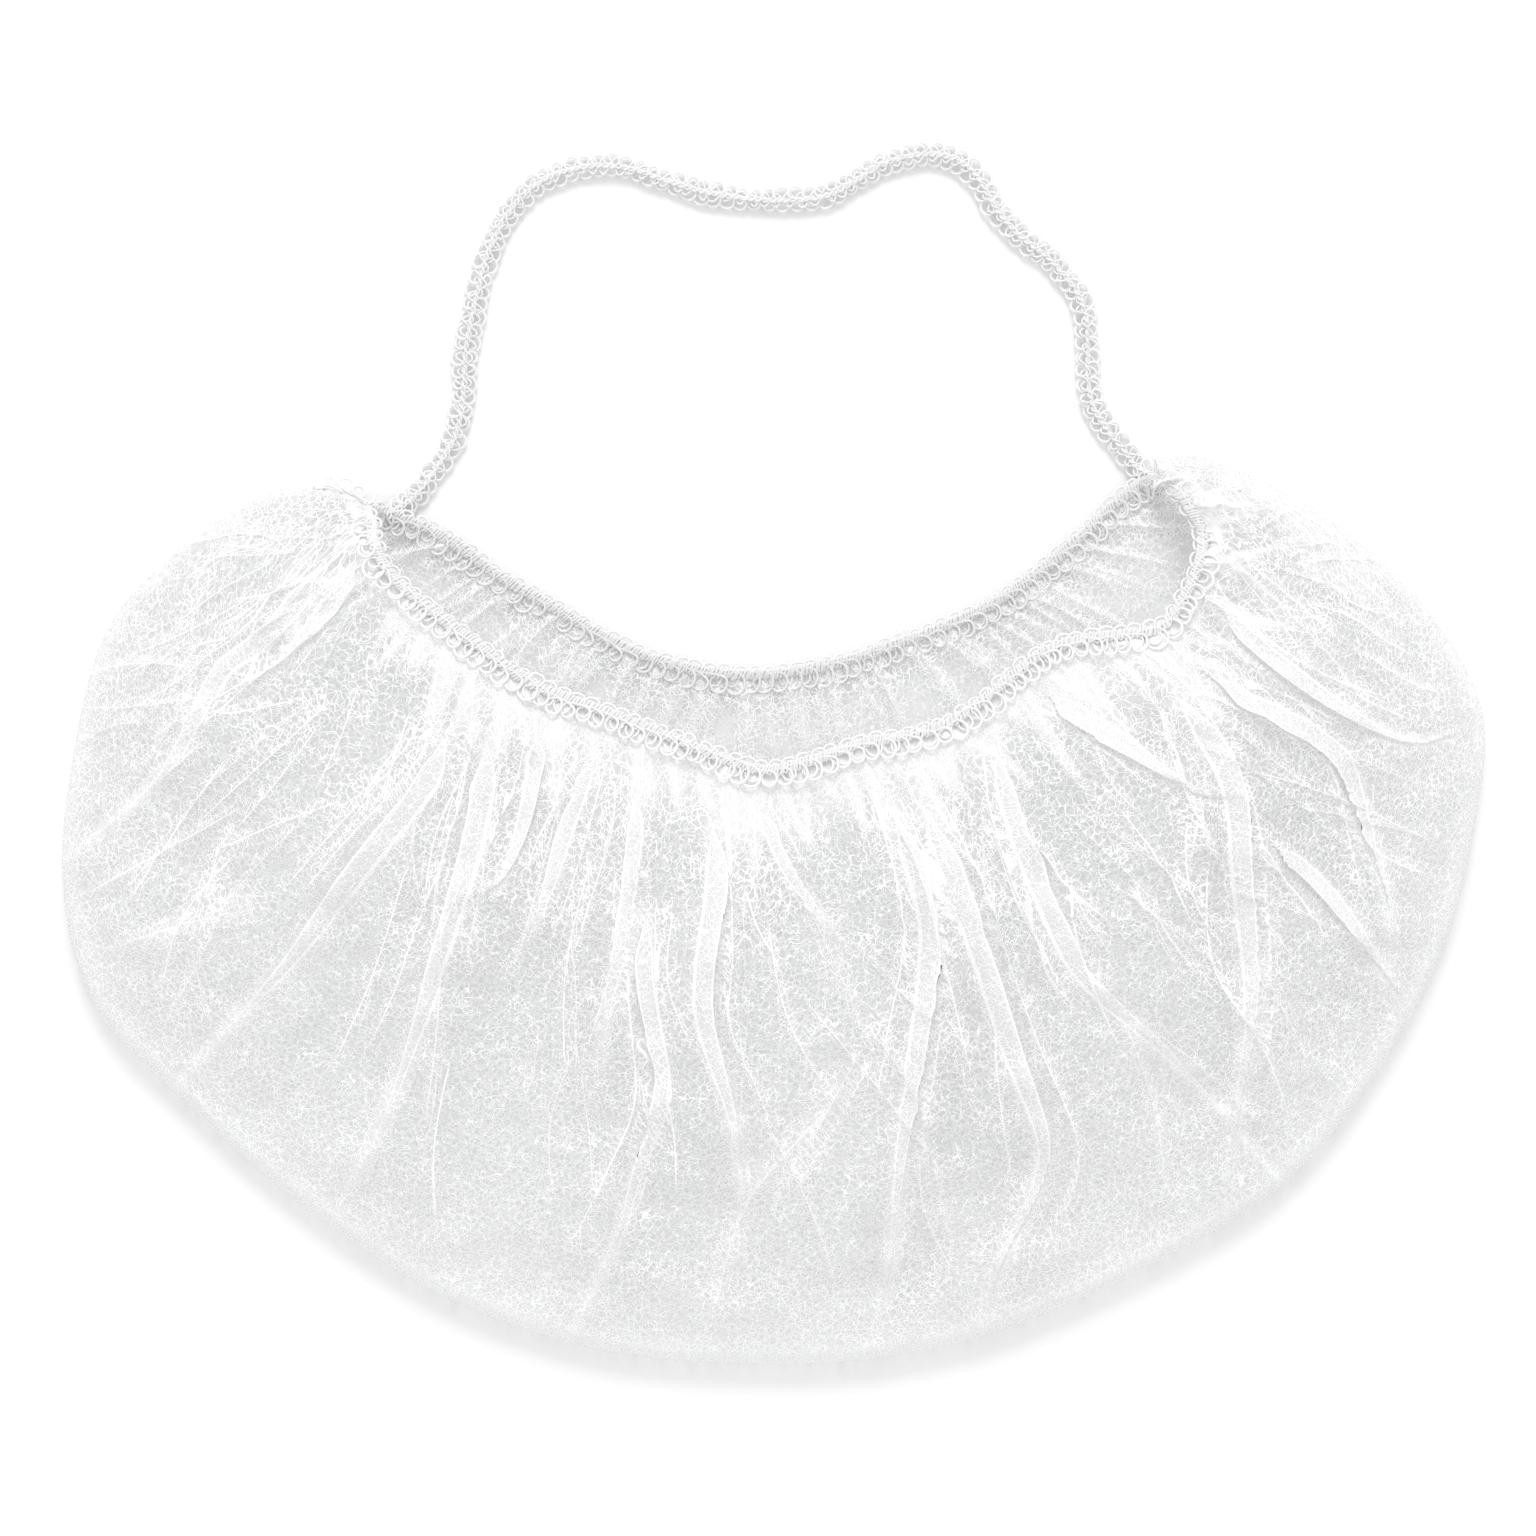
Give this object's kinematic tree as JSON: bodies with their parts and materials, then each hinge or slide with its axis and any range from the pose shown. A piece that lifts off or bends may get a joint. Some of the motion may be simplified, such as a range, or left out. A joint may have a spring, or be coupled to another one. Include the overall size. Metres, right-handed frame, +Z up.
{
  "type": "disposable beard net",
  "caption": "Half-moon pouch of thin white non-woven cloth, gathered along its open top edge on an overlocked elastic, with a loop of the same elastic for the back of the head.",
  "frame": {"origin": "on the table, under the middle of the pouch's box, without the head loop", "axes": "+X across the net from its left corner to its right, +Y from the lower fold to the head loop, +Z up from the table"},
  "size_m": [0.2701, 0.2321, 0.0255],
  "materials": {
    "cloth": "thin open non-woven of curled white fibres, see-through where single, whiter where it lies in folds",
    "elastic": "white rubber thread wrapped in overlock stitches, lace-like loops on both sides"
  },
  "bodies": {
    "root": {"net_pouch": "cloth", "mouth_elastic": "elastic", "head_loop": "elastic"}
  },
  "joints": []
}
